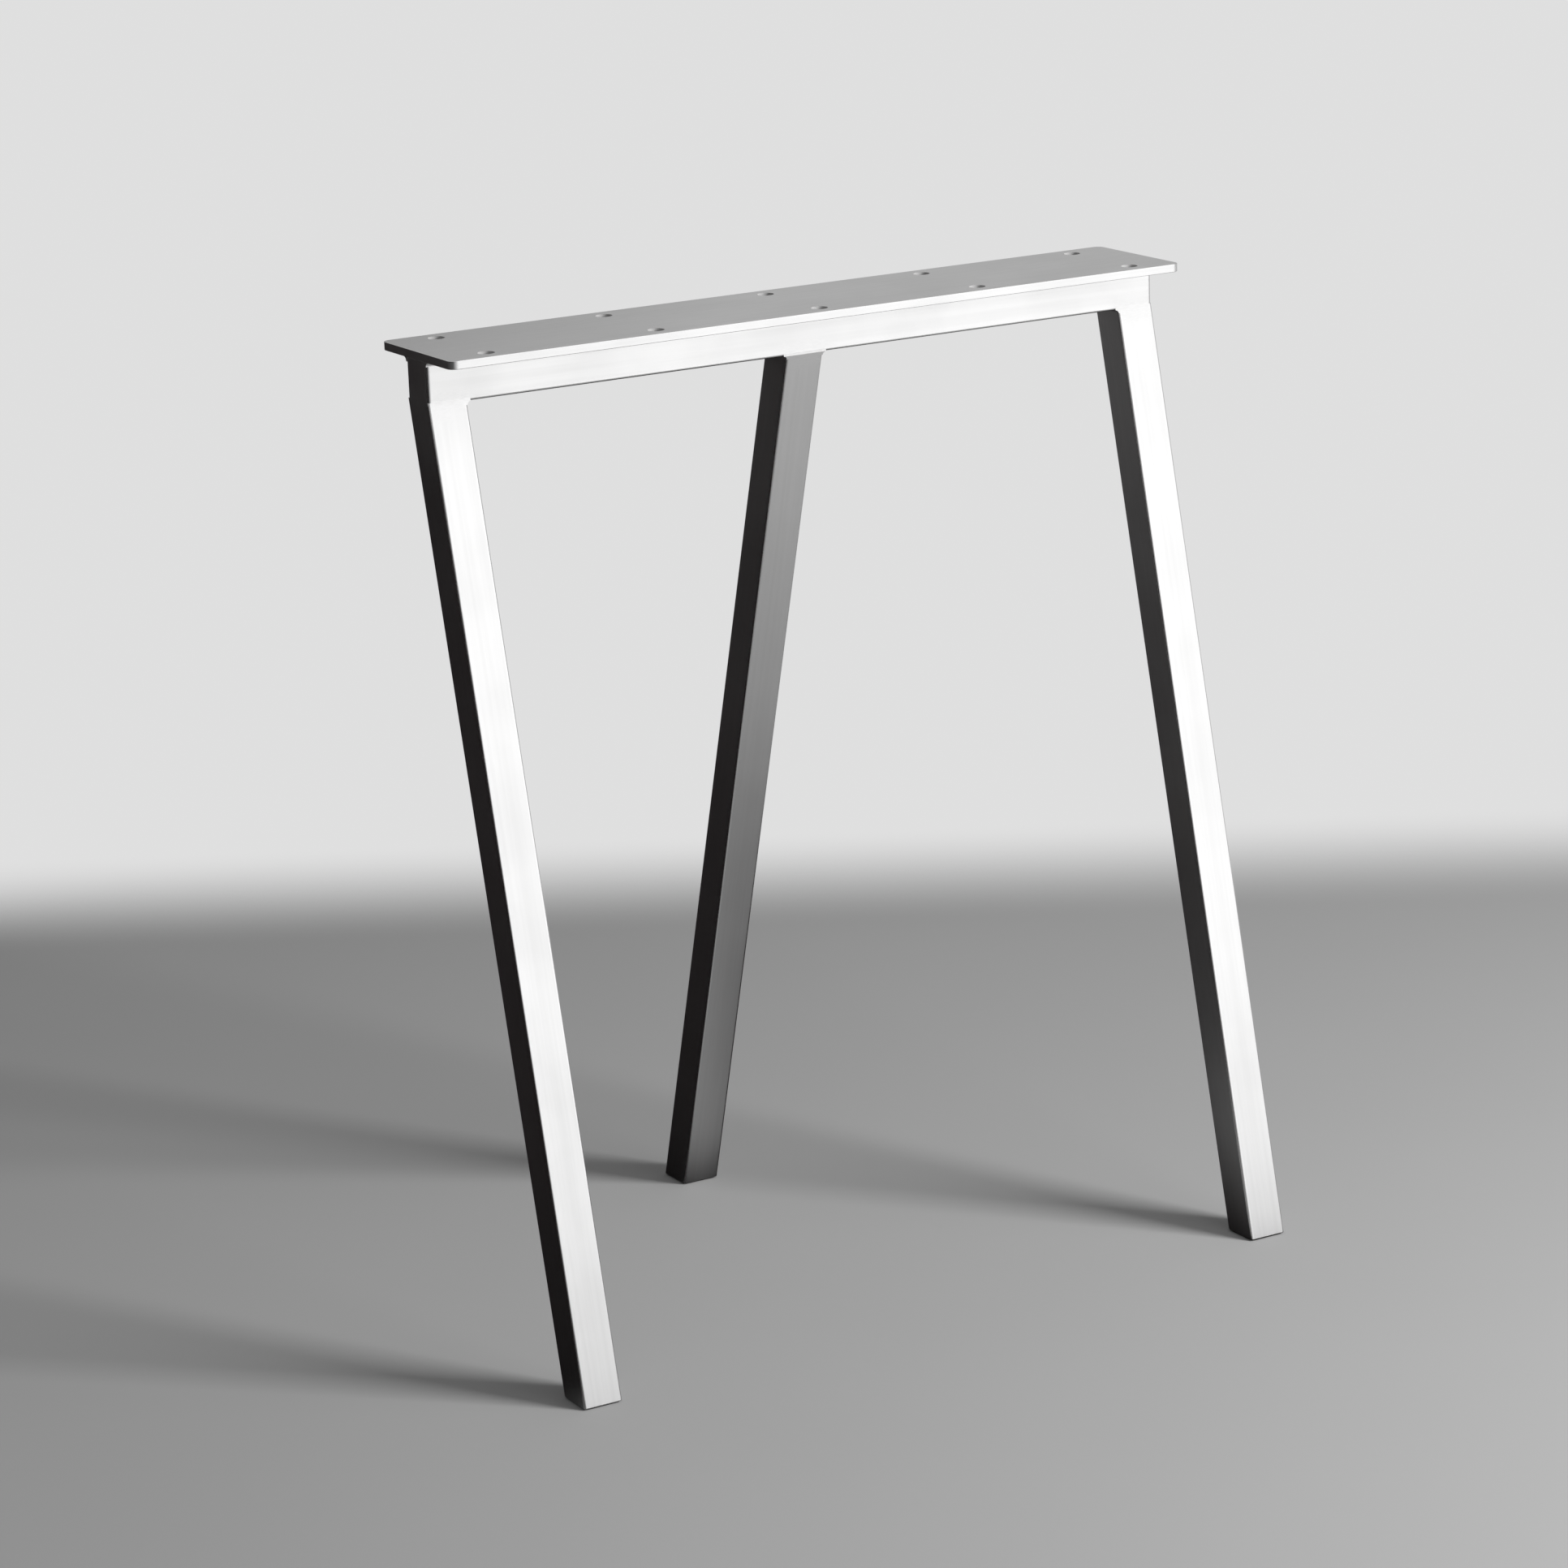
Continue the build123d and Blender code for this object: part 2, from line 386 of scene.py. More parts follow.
# %% Roughness of the steel
SATIN_ROUGHNESS = 0.36
STREAK_ROUGHNESS = 0.006
DISC_ROUGHNESS = 0.04
RUBBED_SMOOTHER = 0.10
CLOUD_SIZE = 0.07
HANDLED_LOW, HANDLED_HIGH = 0.35, 0.70
HANDLED_SMOOTHER, HANDLED_ROUGHER = -0.015, 0.03


def steel_roughness(tree, streak, disc, polish, dressed):
    """The satin's roughness, a little more or less along the streaks and in broad clouds, more
    in the disc's scratches where it was dressed, and less where the steel is polished.
    """
    dull, bright = SATIN_ROUGHNESS + STREAK_ROUGHNESS, SATIN_ROUGHNESS - STREAK_ROUGHNESS
    brushed = ease(tree, streak, NOISE_LOW, NOISE_HIGH, dull, bright)
    cloud = clouds(tree, CLOUD_SIZE, DETAILED)
    span = (HANDLED_LOW, HANDLED_HIGH, HANDLED_SMOOTHER, HANDLED_ROUGHER)
    handled = ease(tree, cloud, *span)
    brushed = arithmetic(tree, "ADD", brushed, handled)
    deepest = SATIN_ROUGHNESS + DISC_ROUGHNESS
    scratched = ease(tree, disc, DISC_LOW, DISC_HIGH, deepest, SATIN_ROUGHNESS)
    roughness = blend(tree, dressed, brushed, scratched)
    return blend(tree, polish, roughness, SATIN_ROUGHNESS - RUBBED_SMOOTHER)


print("satin roughness:", SATIN_ROUGHNESS)

# %% [markdown]
# The last step joins colour, roughness and relief. Every steel finish below calls it, and says
# only which way its grain runs and where it was polished or dressed.

# %% Steel surface
HAIR_DEPTH = 0.0000045
DISC_DEPTH = 0.000007
STEEL_RELIEF = 0.7


def steel_surface(tree, shader, grain, polish, dressed, painted_shade=1.0):
    """Wires colour, roughness and bump. polish is 1 on rubbed edges, dressed is 1 where a disc has
    replaced the belt's grain, and the painted shade darkens the steel's colour where it is less
    than 1.
    """
    hair, scratch, streak = grain
    disc = disc_grain(tree)
    colour = steel_colour(tree, scratch, streak, disc, polish, dressed, painted_shade)
    tree.links.new(colour, shader.inputs["Base Color"])
    roughness = steel_roughness(tree, streak, disc, polish, dressed)
    tree.links.new(roughness, shader.inputs["Roughness"])
    belt_height = arithmetic(tree, "SUBTRACT", hair, scratch)
    belt_height = arithmetic(tree, "MULTIPLY", belt_height, HAIR_DEPTH)
    disc_height = arithmetic(tree, "MULTIPLY", disc, DISC_DEPTH)
    relief(tree, shader, blend(tree, dressed, belt_height, disc_height), STEEL_RELIEF)
    shader.inputs["Metallic"].default_value = 1.0


grain_depths_mm = [round(depth * MM_PER_METRE, 4) for depth in (HAIR_DEPTH, DISC_DEPTH)]
print("depths of the belt's and the disc's grain in mm:", grain_depths_mm)

# %% [markdown]
# ## The tubes
# The grain has to run along each tube, so the crossbar and the leaning legs get a material
# each, made by one function with a different origin, tilt and direction. The same turned
# coordinates tell how far a point is from the tube's axis on each side. Where both distances
# are near half the tube, the point is on a rounded corner, which hands and cloths keep a little
# brighter than the flats.

# %% Tube finishes
EDGE_BRIGHT = 0.0026
EDGE_FULL = 0.0009


def tube_corner(tree, origin, tilt, sides):
    """1 on the rounded corners of a tube, 0 on its flats: the smaller of the two distances from
    the axis says how near to a corner the point is.
    """
    axes = axes_of(tree, placed(tree, origin, tilt))
    first = arithmetic(tree, "ABSOLUTE", axes[sides[0]])
    second = arithmetic(tree, "ABSOLUTE", axes[sides[1]])
    nearer = arithmetic(tree, "MINIMUM", first, second)
    return ease(tree, nearer, TUBE_HALF - EDGE_BRIGHT, TUBE_HALF - EDGE_FULL)


def tube_finish(name, origin, tilt, along):
    """Brushed tube whose grain runs along one axis, after the turn by the tilt."""
    material, tree, shader = new_finish(name)
    grain = belt_grain(tree, origin, tilt, along)
    sides = [axis for axis in (ALONG_X, ALONG_Y, ALONG_Z) if axis != along]
    polish = tube_corner(tree, origin, tilt, sides)
    steel_surface(tree, shader, grain, polish, near_joint(tree))
    return material


crossbar_steel = tube_finish("brushed_crossbar", BAR_MIDDLE, NO_TILT, ALONG_X)
LEG_FINISHES = {
    "front_left": ("brushed_left_leg", -OUTER_LEG_X, FRONT_LEAN),
    "front_right": ("brushed_right_leg", OUTER_LEG_X, FRONT_LEAN),
    "rear": ("brushed_rear_leg", 0.0, REAR_LEAN),
}
LEG_STEEL = {}
for leg, (name, leg_x, lean) in LEG_FINISHES.items():
    leg_top = Vector((leg_x, 0.0, BAR_UNDERSIDE))
    LEG_STEEL[leg] = tube_finish(name, leg_top, lean, ALONG_Z)
print("tube finishes:", crossbar_steel.name, *(steel.name for steel in LEG_STEEL.values()))

# %% [markdown]
# ## The crossbar's closed ends
# A small square plate closes each end of the crossbar. It was ground level with the leg below
# it, up and down, so its end face has upright grain, while its top, bottom and sides go on
# with the crossbar's. The direction that a face points in tells the two apart.

# %% End cap finish
FACING_FROM, FACING_FULL = 0.55, 0.85


def facing(tree, axis):
    """1 on faces that point along the axis, either way, and 0 on the others."""
    normal = add_node(tree, "ShaderNodeTexCoord").outputs["Normal"]
    along = arithmetic(tree, "ABSOLUTE", axes_of(tree, normal)[axis])
    return ease(tree, along, FACING_FROM, FACING_FULL)


def two_way_grain(tree, share, first, second):
    """Each noise of the first grain where the share is 0, and of the second where it is 1."""
    return [blend(tree, share, one, other) for one, other in zip(first, second)]


def cap_finish(name):
    """Crossbar grain on the sides and upright grain on the end faces, with rubbed end edges."""
    material, tree, shader = new_finish(name)
    lengthwise = belt_grain(tree, BAR_MIDDLE, NO_TILT, ALONG_X)
    upright = belt_grain(tree, BAR_MIDDLE, NO_TILT, ALONG_Z)
    grain = two_way_grain(tree, facing(tree, ALONG_X), lengthwise, upright)
    axes = axes_of(tree, object_place(tree))
    from_leg = arithmetic(tree, "SUBTRACT", arithmetic(tree, "ABSOLUTE", axes["X"]), OUTER_LEG_X)
    edge = arithmetic(tree, "MINIMUM", from_leg, arithmetic(tree, "ABSOLUTE", axes["Y"]))
    polish = ease(tree, edge, TUBE_HALF - EDGE_BRIGHT, TUBE_HALF - EDGE_FULL)
    steel_surface(tree, shader, grain, polish, near_joint(tree))
    return material


cap_steel = cap_finish("brushed_end_caps")
print("end cap finish:", cap_steel.name)

# %% [markdown]
# ## The bolt holes
# Nobody brushes the inside of a bolt hole: it keeps the matt wall and the upright marks of the
# cut. A wall this rough scatters light as chalk does, which is why it is given none of the
# metal's mirror. Each point's distance to its nearest hole tells the walls from the rest, with
# no mesh selected. The holes' size and spacing come with the solids, so they are read, not
# typed in.

# %% Measure the plate and its holes
plate_low, plate_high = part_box("top_plate")
PLATE_CENTRE = (plate_low + plate_high) / 2
holes = next(m["dims"] for m in frame["record"]["mounts"] if m["name"] == "bolts_inner")
# The inner four holes stand one pitch each side of the plate's middle, in two rows.
HOLE_RADIUS = holes["hole_r_mm"] / MM_PER_METRE
HOLE_PITCH = holes["spacing_x_mm"] / 2 / MM_PER_METRE
HOLE_ROW_Y = holes["spacing_y_mm"] / 2 / MM_PER_METRE


def from_nearest_hole(tree):
    """Distance to the axis of the nearest bolt hole. Ping-pong folds X at every hole of a row."""
    axes = axes_of(tree, placed(tree, PLATE_CENTRE, NO_TILT))
    along_row = arithmetic(tree, "PINGPONG", axes["X"], HOLE_PITCH / 2)
    from_row = arithmetic(tree, "SUBTRACT", arithmetic(tree, "ABSOLUTE", axes["Y"]), HOLE_ROW_Y)
    offset = add_node(tree, "ShaderNodeCombineXYZ", {0: along_row, 1: from_row}).outputs[0]
    return add_node(tree, "ShaderNodeVectorMath", {0: offset}, operation="LENGTH").outputs["Value"]


print("holes in m: radius", HOLE_RADIUS, "pitch", HOLE_PITCH, "rows at", HOLE_ROW_Y)

# %% [markdown]
# The wall's finish is laid over the brushed one: each socket that the steel already fills is
# blended with the wall's own value inside the holes, and left as it was everywhere else.

# %% Hole walls
CUT_WALL = (0.44, 0.438, 0.437, 1.0)
CUT_ROUGHNESS = 0.60
CUT_METAL = 0.0
CUT_WIDTH, CUT_LENGTH = 0.0003, 0.012
CUT_DEPTH = 0.00003
WALL_EDGE = 0.0002


def cut_walls(tree, shader):
    """Lays the matt cut wall over the brushed finish inside the holes."""
    wall_end = HOLE_RADIUS + WALL_EDGE
    inside = ease(tree, from_nearest_hole(tree), HOLE_RADIUS, wall_end, 1.0, 0.0)
    brushed_colour = shader.inputs["Base Color"].links[0].from_socket
    colour = blend_colour(tree, inside, brushed_colour, CUT_WALL)
    tree.links.new(colour, shader.inputs["Base Color"])
    brushed_roughness = shader.inputs["Roughness"].links[0].from_socket
    roughness = blend(tree, inside, brushed_roughness, CUT_ROUGHNESS)
    tree.links.new(roughness, shader.inputs["Roughness"])
    tree.links.new(blend(tree, inside, 1.0, CUT_METAL), shader.inputs["Metallic"])
    mark_size = stretched(CUT_WIDTH, CUT_LENGTH, ALONG_Z)
    marks = noise(tree, placed(tree, PLATE_CENTRE, NO_TILT, mark_size), MIXED)
    bump = shader.inputs["Normal"].links[0].from_node
    brushed_height = bump.inputs["Height"].links[0].from_socket
    cut_height = arithmetic(tree, "MULTIPLY", marks, CUT_DEPTH)
    tree.links.new(blend(tree, inside, brushed_height, cut_height), bump.inputs["Height"])


print("cut marks in mm: width", CUT_WIDTH * MM_PER_METRE, "length", CUT_LENGTH * MM_PER_METRE)

# %% [markdown]
# ## The plate
# The plate was cut from brushed sheet, so the grain runs along its length on both faces. Its
# narrow edges were ground along the cut, which on the two short ends is across the plate. Only the
# broken edge, less than half a millimetre wide, is polished by handling. The flat faces, top and
# bottom, are painted darker than the edges: a painted shade for the darker surroundings that they
# mirror.

# %% Plate finish
# Painted shade: the flat top and bottom faces are darkened to this share of the colour, for the
# darker surroundings that they mirror.
FLAT_PAINTED_SHADE = 0.77
RIM_START, RIM_FULL = 0.0012, 0.0002
FACE_START, FACE_FULL = 0.0006, 0.0001
NEVER_DRESSED = 0.0


def plate_rim(tree):
    """1 on the broken edges round the two faces, 0 elsewhere: near the plate's outline, and near
    its top or bottom, both at once.
    """
    axes = axes_of(tree, placed(tree, PLATE_CENTRE, NO_TILT))
    past_x = arithmetic(tree, "SUBTRACT", arithmetic(tree, "ABSOLUTE", axes["X"]), plate_high.x)
    past_y = arithmetic(tree, "SUBTRACT", arithmetic(tree, "ABSOLUTE", axes["Y"]), plate_high.y)
    nearest = arithmetic(tree, "MAXIMUM", past_x, past_y)
    at_outline = ease(tree, nearest, -RIM_START, -RIM_FULL)
    from_middle = arithmetic(tree, "ABSOLUTE", axes["Z"])
    half_thick = plate_high.z - PLATE_CENTRE.z
    at_face = ease(tree, from_middle, half_thick - FACE_START, half_thick - FACE_FULL)
    return arithmetic(tree, "MULTIPLY", at_outline, at_face)


def plate_finish(name):
    """Sheet grain along X, turned across on the short end edges, with a rubbed rim."""
    material, tree, shader = new_finish(name)
    lengthwise = belt_grain(tree, PLATE_CENTRE, NO_TILT, ALONG_X)
    crosswise = belt_grain(tree, PLATE_CENTRE, NO_TILT, ALONG_Y)
    grain = two_way_grain(tree, facing(tree, ALONG_X), lengthwise, crosswise)
    # Painted shade: the faces that point up or down are darkened, and the edges keep the full
    # colour.
    painted_shade = blend(tree, facing(tree, ALONG_Z), 1.0, FLAT_PAINTED_SHADE)
    steel_surface(tree, shader, grain, plate_rim(tree), NEVER_DRESSED, painted_shade)
    cut_walls(tree, shader)
    # Only the walls, which aren't mirror-like metal, read this level. At 0 they have no gloss.
    shader.inputs["Specular IOR Level"].default_value = 0.0
    return material


plate_steel = plate_finish("brushed_plate")
print("plate finish:", plate_steel.name, "with", len(plate_steel.node_tree.nodes), "nodes")

# %% [markdown]
# ## The welds
# The fillets were run with a torch and then dressed. A dressed weld has no belt grain. It has
# the disc's short crossing scratches, slightly deeper, and in the long seams under the plate a
# trace of the bead's ripples, which a disc doesn't reach. The ripples are a wave along X that
# wanders, because a hand never feeds the rod evenly.

# %% Weld finish
WELD_DARK = (0.552, 0.55, 0.549, 1.0)
WELD_CLOUD = 0.011
WELD_LOW, WELD_HIGH = 0.35, 0.65
WELD_ROUGHNESS = 0.05
RIPPLE_PITCH = 0.0024
RIPPLE_DEPTH = 0.00003
RIPPLE_WANDER = 6.0
JOINT_RIPPLE_DEPTH = RIPPLE_DEPTH / 6


def ripples(tree, cloud, depth):
    """Height of the bead's ripples: half the depth times the sine of X, one turn for each pitch,
    with the cloud times RIPPLE_WANDER added to the angle.
    """
    axes = axes_of(tree, object_place(tree))
    wander = arithmetic(tree, "MULTIPLY", cloud, RIPPLE_WANDER)
    turns = arithmetic(tree, "MULTIPLY", axes["X"], 2 * math.pi / RIPPLE_PITCH)
    wave = arithmetic(tree, "SINE", arithmetic(tree, "ADD", turns, wander))
    return arithmetic(tree, "MULTIPLY", wave, depth / 2)


def weld_finish(name, ripple_depth):
    """Disc-dressed weld metal, with the bead's ripples as deep as given."""
    material, tree, shader = new_finish(name)
    disc = disc_grain(tree)
    cloud = clouds(tree, WELD_CLOUD, DETAILED)
    colour = blend_colour(tree, ease(tree, cloud, WELD_LOW, WELD_HIGH), WELD_DARK, STEEL_LIGHT)
    tree.links.new(colour, shader.inputs["Base Color"])
    deepest = SATIN_ROUGHNESS + WELD_ROUGHNESS
    roughness = ease(tree, disc, DISC_LOW, DISC_HIGH, deepest, SATIN_ROUGHNESS)
    tree.links.new(roughness, shader.inputs["Roughness"])
    disc_height = arithmetic(tree, "MULTIPLY", disc, DISC_DEPTH)
    height = arithmetic(tree, "ADD", ripples(tree, cloud, ripple_depth), disc_height)
    relief(tree, shader, height, STEEL_RELIEF)
    shader.inputs["Metallic"].default_value = 1.0
    return material


seam_steel = weld_finish("dressed_seam", RIPPLE_DEPTH)
joint_steel = weld_finish("dressed_joint", JOINT_RIPPLE_DEPTH)
ripple_sizes = [round(size * MM_PER_METRE, 3) for size in (RIPPLE_PITCH, RIPPLE_DEPTH)]
print("pitch and depth of the ripples in mm:", ripple_sizes)

# %% [markdown]
# ## The floor pads
# A thin black rubber pad under each foot keeps the steel off the floor. Rubber is never quite
# black or quite even: it has a fine pebble, and dust settles where the pad meets the floor.

# %% Rubber finish
RUBBER = (0.018, 0.018, 0.018, 1.0)
RUBBER_SMOOTHEST, RUBBER_ROUGHEST = 0.62, 0.82
RUBBER_RELIEF = 0.8
PEBBLE_SIZE, PEBBLE_DEPTH = 0.0006, 0.00004
PATCH_SIZE = 0.006
DUST = (0.10, 0.095, 0.09, 1.0)
DUST_LOW, DUST_HIGH = 0.40, 0.75
DUST_TOP, DUST_AT_TOP = 0.0008, 0.2


def rubber_finish(name):
    """Near-black rubber with a fine pebble and a little dust towards the floor."""
    material, tree, shader = new_finish(name)
    pebble = clouds(tree, PEBBLE_SIZE, DETAILED, CRISP)
    patch = clouds(tree, PATCH_SIZE, DETAILED)
    height = axes_of(tree, object_place(tree))["Z"]
    low_down = ease(tree, height, FLOOR_Z, FLOOR_Z + DUST_TOP, 1.0, DUST_AT_TOP)
    dust = arithmetic(tree, "MULTIPLY", low_down, ease(tree, patch, DUST_LOW, DUST_HIGH))
    colour = blend_colour(tree, dust, RUBBER, DUST)
    tree.links.new(colour, shader.inputs["Base Color"])
    span = (NOISE_LOW, NOISE_HIGH, RUBBER_SMOOTHEST, RUBBER_ROUGHEST)
    tree.links.new(ease(tree, patch, *span), shader.inputs["Roughness"])
    relief(tree, shader, arithmetic(tree, "MULTIPLY", pebble, PEBBLE_DEPTH), RUBBER_RELIEF)
    return material


pad_rubber = rubber_finish("pad_rubber_worn")
print("pad finish:", pad_rubber.name)

# %% [markdown]
# ## Putting the finishes on
# Each solid came with a plain material in its one slot. The finish goes into that slot, so
# that no mesh is touched.

# %% Assign the finishes
FINISHES = {
    "top_plate": plate_steel,
    "crossbar_tube": crossbar_steel,
    "crossbar_cap_left": cap_steel,
    "crossbar_cap_right": cap_steel,
    "weld_plate_front": seam_steel,
    "weld_plate_back": seam_steel,
}
for leg, steel in LEG_STEEL.items():
    FINISHES[f"leg_{leg}"] = steel
    FINISHES[f"foot_cap_{leg}"] = steel
    FINISHES[f"foot_pad_{leg}"] = pad_rubber
    FINISHES[f"weld_leg_{leg}"] = joint_steel

for name, finish in FINISHES.items():
    for slot in nodes[name].material_slots:
        slot.material = finish
print("finished pieces:", len(FINISHES), "of", len(nodes))

# %% [markdown]
# ## The floor
# A pale floor carries the shadows and the contact line of the feet. It could be a plane with
# hard edges, but then its far edge would cut across the picture. This one is a round sheet
# whose edge fades into the pale background. Its points lie on circles, worked out as arrays.

# %% Floor sheet
FLOOR_RADIUS = 1.9


def disc_grid(radius, rings=24, spokes=96):
    """Points on circles: ring i has radius R times i over the count, and spoke j the angle
    2 pi j over the count. Quads join neighbours, and the first ring is joined to the middle.
    """
    share = np.arange(1, rings + 1)[:, None] / rings
    angle = np.arange(spokes)[None, :] * (2 * np.pi / spokes)
    x = radius * share * np.cos(angle)
    y = radius * share * np.sin(angle)
    points = np.stack([x, y, np.zeros_like(x)], axis=-1).reshape(-1, 3)
    points = np.vstack([[[0.0, 0.0, 0.0]], points])
    ring = np.arange(rings - 1)[:, None] * spokes + 1
    here = np.arange(spokes)[None, :]
    after = (here + 1) % spokes
    corners = [ring + here, ring + spokes + here, ring + spokes + after, ring + after]
    quads = np.stack(corners, axis=-1)
    middle = np.stack([np.zeros(spokes, int), here[0] + 1, after[0] + 1], axis=-1)
    return points, middle.tolist() + quads.reshape(-1, 4).tolist()


floor_points, floor_faces = disc_grid(FLOOR_RADIUS)
floor_points[:, 2] = FLOOR_Z
floor_mesh = bpy.data.meshes.new("floor")
floor_mesh.from_pydata(floor_points.tolist(), [], floor_faces)
floor = bpy.data.objects.new("floor", floor_mesh)
scene.collection.objects.link(floor)
print("floor faces:", len(floor_faces))

# %% [markdown]
# Seen from the camera the floor has to end a metre behind the leg, so on that side it fades
# sooner and faster than round the rest of its edge. The two fades are multiplied and make the
# sheet see-through. It is quite matt, because a glossy floor would mirror the lamps.

# %% Floor finish
FLOOR_TONE = 0.40
FLOOR_DARKER, FLOOR_LIGHTER = 0.97, 1.03
FLOOR_CLOUD = 0.5
FLOOR_ROUGHNESS = 0.9
EDGE_START, EDGE_END = 1.38, 1.84
BACK_START, BACK_END = 0.84, 1.16


def grey(tone):
    """A colour with the same tone in red, green and blue."""
    return (tone, tone, tone, 1.0)


def floor_finish(name):
    """Pale and matt with a faint shift of tone, and see-through past its edges."""
    material, tree, shader = new_finish(name)
    darker, lighter = grey(FLOOR_TONE * FLOOR_DARKER), grey(FLOOR_TONE * FLOOR_LIGHTER)
    colour = blend_colour(tree, clouds(tree, FLOOR_CLOUD, DETAILED), darker, lighter)
    tree.links.new(colour, shader.inputs["Base Color"])
    shader.inputs["Roughness"].default_value = FLOOR_ROUGHNESS
    shader.inputs["Specular IOR Level"].default_value = 0.0
    where = object_place(tree)
    reach = add_node(tree, "ShaderNodeVectorMath", {0: where}, operation="LENGTH").outputs["Value"]
    away = Vector((math.sin(CAMERA_YAW), math.cos(CAMERA_YAW), 0.0))
    dot = add_node(tree, "ShaderNodeVectorMath", {0: where, 1: away}, operation="DOT_PRODUCT")
    before_back = ease(tree, dot.outputs["Value"], BACK_START, BACK_END, 1.0, 0.0)
    inside_edge = ease(tree, reach, EDGE_START, EDGE_END, 1.0, 0.0)
    tree.links.new(arithmetic(tree, "MULTIPLY", before_back, inside_edge), shader.inputs["Alpha"])
    return material


floor.data.materials.append(floor_finish("pale_floor"))
print("floor tone:", FLOOR_TONE, "it ends behind the leg at", BACK_END, "m")

# %% [markdown]
# ## The light
# Bare metal has almost no colour of its own: it shows what stands around it. The photograph's
# legs are white in front and near black on their left sides, so there was one large soft light
# to the right of the camera and nothing bright on the left. The world stands for all that is
# pale and far away. If it lit the floor as brightly as it looks, the feet would have hardly any
# shadow, so the two are set apart: metal and camera see the backdrop's tone, and the other
# surfaces get the fill.

# %% World
BACKDROP_TONE = 0.74
FILL_TONE = 0.25
WHITE = (1.0, 1.0, 1.0, 1.0)

world = bpy.data.worlds.new("studio")
scene.world = world
world.use_nodes = True
tree = world.node_tree
tree.nodes.clear()
rays = add_node(tree, "ShaderNodeLightPath").outputs
seen = arithmetic(tree, "MAXIMUM", rays["Is Camera Ray"], rays["Is Glossy Ray"])
seen = arithmetic(tree, "MAXIMUM", seen, rays["Is Transmission Ray"])
fill = add_node(tree, "ShaderNodeBackground", {"Color": WHITE, "Strength": FILL_TONE})
backdrop = add_node(tree, "ShaderNodeBackground", {"Color": WHITE, "Strength": BACKDROP_TONE})
both = add_node(tree, "ShaderNodeMixShader", {0: seen, 1: fill.outputs[0], 2: backdrop.outputs[0]})
add_node(tree, "ShaderNodeOutputWorld", {"Surface": both.outputs[0]})
print("backdrop tone:", BACKDROP_TONE, "fill tone:", FILL_TONE)

# %% [markdown]
# ## The window and its sky
# A large area light is the window that the front faces mirror. Its size decides how far the
# white reaches down the legs. A soft light this low and this wide hardly casts a shadow, yet
# the photograph's feet have one on the left, as long as a hand. So a smaller lamp stands
# higher in the same direction, like the brightest patch of sky. It lights the floor and isn't
# mirrored by the metal, which would show it as a second highlight.

# %% Lamps
WINDOW_DIRECTION = Vector((0.49, -0.87, 0.0)).normalized()
WINDOW_DISTANCE = 1.75
WINDOW_WIDTH, WINDOW_HEIGHT = 1.8, 2.3
WINDOW_SILL = 0.02
WINDOW_RADIANCE = 1.20
SKY_DIRECTION = Vector((0.60, -0.80, 0.60)).normalized()
SKY_DISTANCE = 3.7
SKY_SIZE = 1.08
SKY_RADIANCE = 36.0


def soft_box(name, place, target, width, height, radiance):
    """A rectangular area light that looks at the target. A surface that glows evenly gives off
    pi times its radiance for each square metre, which is the power that Blender asks for.
    """
    data = bpy.data.lights.new(name, "AREA")
    data.shape = "RECTANGLE"
    data.size = width
    data.size_y = height
    data.energy = math.pi * radiance * width * height
    lamp = bpy.data.objects.new(name, data)
    turn = (target - place).to_track_quat("-Z", "Y").to_matrix().to_4x4()
    lamp.matrix_world = Matrix.Translation(place) @ turn
    lamp.visible_camera = False
    scene.collection.objects.link(lamp)
    return lamp


window_target = Vector((0.0, 0.0, FLOOR_Z + WINDOW_HEIGHT / 2 + WINDOW_SILL))
window_place = window_target + WINDOW_DIRECTION * WINDOW_DISTANCE
window_size = (WINDOW_WIDTH, WINDOW_HEIGHT)
window = soft_box("window", window_place, window_target, *window_size, WINDOW_RADIANCE)
sky_target = Vector((0.0, 0.0, FLOOR_Z))
sky_place = sky_target + SKY_DIRECTION * SKY_DISTANCE
sky = soft_box("sky", sky_place, sky_target, SKY_SIZE, SKY_SIZE, SKY_RADIANCE)
sky.visible_glossy = False
print("window power in W:", round(window.data.energy, 1), "sky:", round(sky.data.energy, 1))

# %% [markdown]
# ## The black cloth
# The dark left sides need something black to mirror. In a studio a black cloth hangs beside
# the set. A cloth that stood in the light would also darken the floor, so this one is seen in
# reflections only. Each sheet of it is a grid with a value on every point, which says how
# much the cloth covers there. Its material reads that value as its alpha.

# %% A sheet of cloth
CLOTH_BACK = Vector((-0.487, 0.873, 0.0)).normalized()
CLOTH_ASIDE = Vector((0.873, 0.487, 0.0)).normalized()


def sheet_object(name, across, back, height, cover):
    """A grid of quads from four arrays of one shape: metres aside, metres back, height, and how
    much the cloth covers there, from 0 to 1, kept as a value on each point.
    """
    x = across * CLOTH_ASIDE.x + back * CLOTH_BACK.x
    y = across * CLOTH_ASIDE.y + back * CLOTH_BACK.y
    points = np.stack([x, y, height], axis=-1).reshape(-1, 3)
    rows, columns = across.shape
    corner = (np.arange(rows - 1)[:, None] * columns + np.arange(columns - 1)[None, :]).reshape(-1)
    faces = np.stack([corner, corner + 1, corner + columns + 1, corner + columns], axis=-1)
    mesh = bpy.data.meshes.new(name)
    mesh.from_pydata(points.tolist(), [], faces.tolist())
    values = mesh.attributes.new("cover", "FLOAT", "POINT")
    values.data.foreach_set("value", cover.reshape(-1).astype(np.float32))
    sheet = bpy.data.objects.new(name, mesh)
    scene.collection.objects.link(sheet)
    sheet.visible_camera = False
    sheet.visible_diffuse = False
    sheet.visible_shadow = False
    return sheet


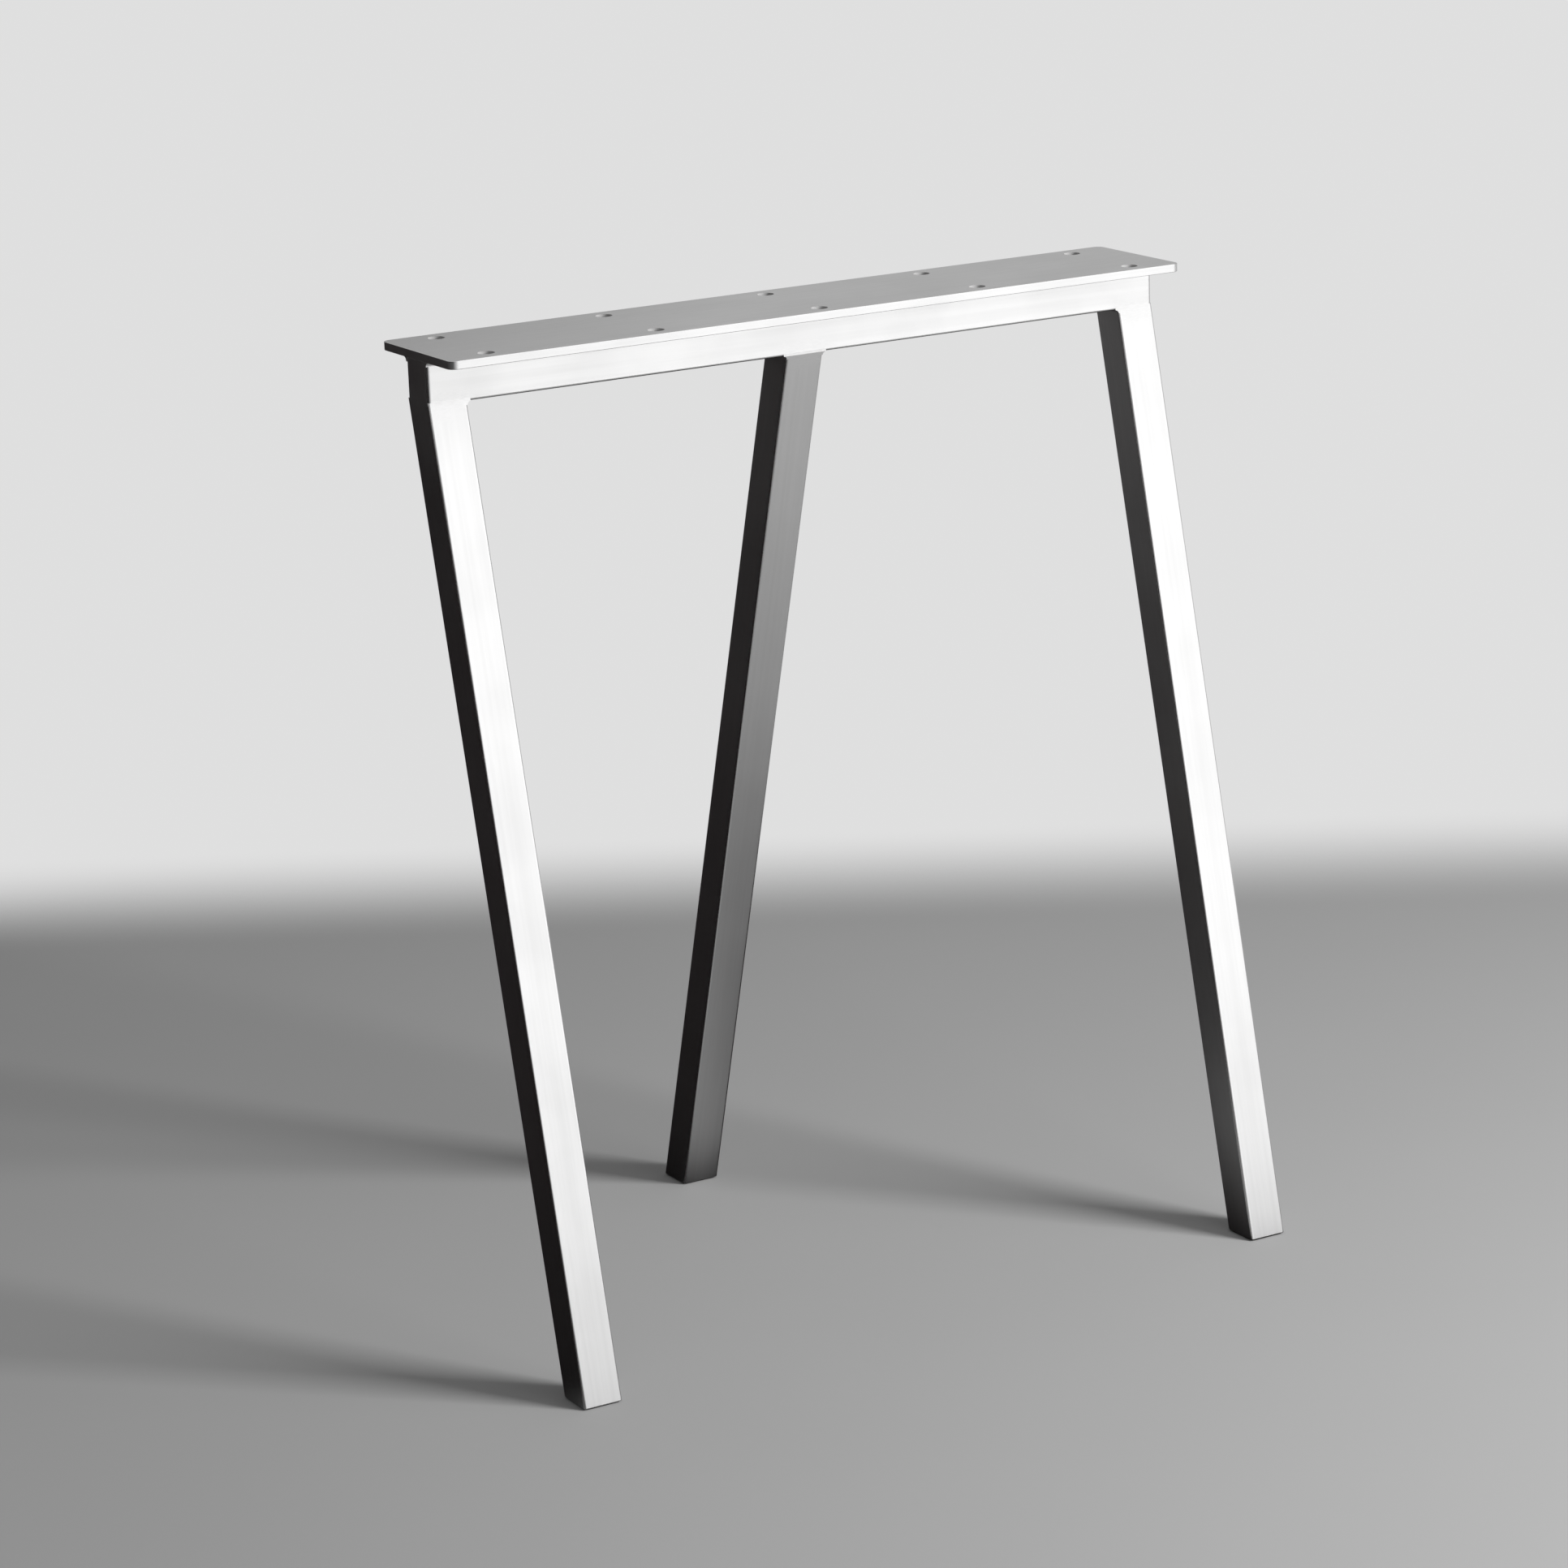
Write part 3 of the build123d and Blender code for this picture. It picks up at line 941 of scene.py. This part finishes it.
cloth_yaw = math.degrees(math.atan2(CLOTH_ASIDE.y, CLOTH_ASIDE.x))
print("the cloth is turned by", round(cloth_yaw, 1), "degrees about Z")

# %% [markdown]
# The cloth lies behind the feet, sweeps up at the back and turns forward along the left. On the
# floor its near edge is stepped, so that it begins about where each foot stands, and it is
# eased, so that no foot mirrors a hard line.

# %% Swept cloth and left wing
CLOTH_LEFT, CLOTH_RIGHT = -1.2, 0.65
CLOTH_NEAR, CLOTH_FAR = -0.60, 0.50
CLOTH_BEND = 0.12
CLOTH_TOP_Z = 0.12
CLOTH_LIFT = 0.001
# Metres aside, and how far back the cloth begins there, from the left foot to the right end.
FOOT_EDGES = [-1.2, -0.16, -0.04, 0.105, 0.125, 0.17, 0.20, 0.65]
FOOT_STARTS = [0.0, 0.0, 0.14, 0.14, -0.36, -0.36, -0.24, -0.24]
EDGE_SOFT = 0.10
THINNING = 0.6
BEND_POINTS, FLAT_POINTS, ASIDE_POINTS, WING_POINTS = 9, 80, 120, 5


def swept_cloth(name):
    """Runs back along the floor, turns up through a quarter circle of the bend's radius and goes
    straight up. The cover eases from 0 to 1 over the soft edge at each foot, and thins
    towards the upper right, where the photograph's right leg is paler.
    """
    turn = np.linspace(-np.pi / 2, 0.0, BEND_POINTS)[1:]
    bend_start = CLOTH_FAR - CLOTH_BEND
    flat = np.linspace(CLOTH_NEAR, bend_start, FLAT_POINTS)
    back = np.concatenate([flat, bend_start + CLOTH_BEND * np.cos(turn), [CLOTH_FAR]])
    low = FLOOR_Z + CLOTH_LIFT
    bend = low + CLOTH_BEND + CLOTH_BEND * np.sin(turn)
    height = np.concatenate([np.full(len(flat), low), bend, [CLOTH_TOP_Z]])
    aside = np.linspace(CLOTH_LEFT, CLOTH_RIGHT, ASIDE_POINTS)
    across, back = np.meshgrid(aside, back)
    height = np.repeat(height[:, None], len(aside), axis=1)
    starts = np.interp(across, FOOT_EDGES, FOOT_STARTS)
    share = np.clip((back - starts + EDGE_SOFT / 2) / EDGE_SOFT, 0.0, 1.0)
    high_up = np.clip((height - FLOOR_Z) / (CLOTH_TOP_Z - FLOOR_Z), 0.0, 1.0)
    to_right = np.clip(across / CLOTH_RIGHT, 0.0, 1.0)
    cover = share * share * (3.0 - 2.0 * share) * (1.0 - THINNING * high_up * to_right)
    return sheet_object(name, across, back, height, cover)


def left_wing(name):
    """An upright sheet along the left end of the cloth, all of it covering."""
    along = np.linspace(CLOTH_NEAR, CLOTH_FAR, WING_POINTS)
    upward = np.linspace(FLOOR_Z, CLOTH_TOP_Z, WING_POINTS)
    back, height = np.meshgrid(along, upward)
    across = np.full_like(back, CLOTH_LEFT)
    return sheet_object(name, across, back, height, np.ones_like(back))


cloth = swept_cloth("black_cloth")
wing = left_wing("black_wing")
print("cloth faces:", len(cloth.data.polygons), "wing faces:", len(wing.data.polygons))

# %% [markdown]
# Black cloth isn't quite black, and a little warm. It has almost no gloss, or the dark sides
# would mirror the window in it.

# %% Cloth finish
CLOTH_TONE = (0.014, 0.0115, 0.012, 1.0)
CLOTH_ROUGHNESS = 0.9
CLOTH_GLOSS = 0.1

cloth_material, tree, shader = new_finish("black_cloth")
shader.inputs["Base Color"].default_value = CLOTH_TONE
shader.inputs["Roughness"].default_value = CLOTH_ROUGHNESS
shader.inputs["Specular IOR Level"].default_value = CLOTH_GLOSS
cover = add_node(tree, "ShaderNodeAttribute", attribute_name="cover").outputs["Fac"]
tree.links.new(cover, shader.inputs["Alpha"])
for sheet in (cloth, wing):
    sheet.data.materials.append(cloth_material)
print("cloth tone:", CLOTH_TONE[:3])

# %% [markdown]
# ## Before closing
# The picture has to show colours as they are written, so the view transform is Standard.

# %% View transform and end
scene.view_settings.view_transform = "Standard"
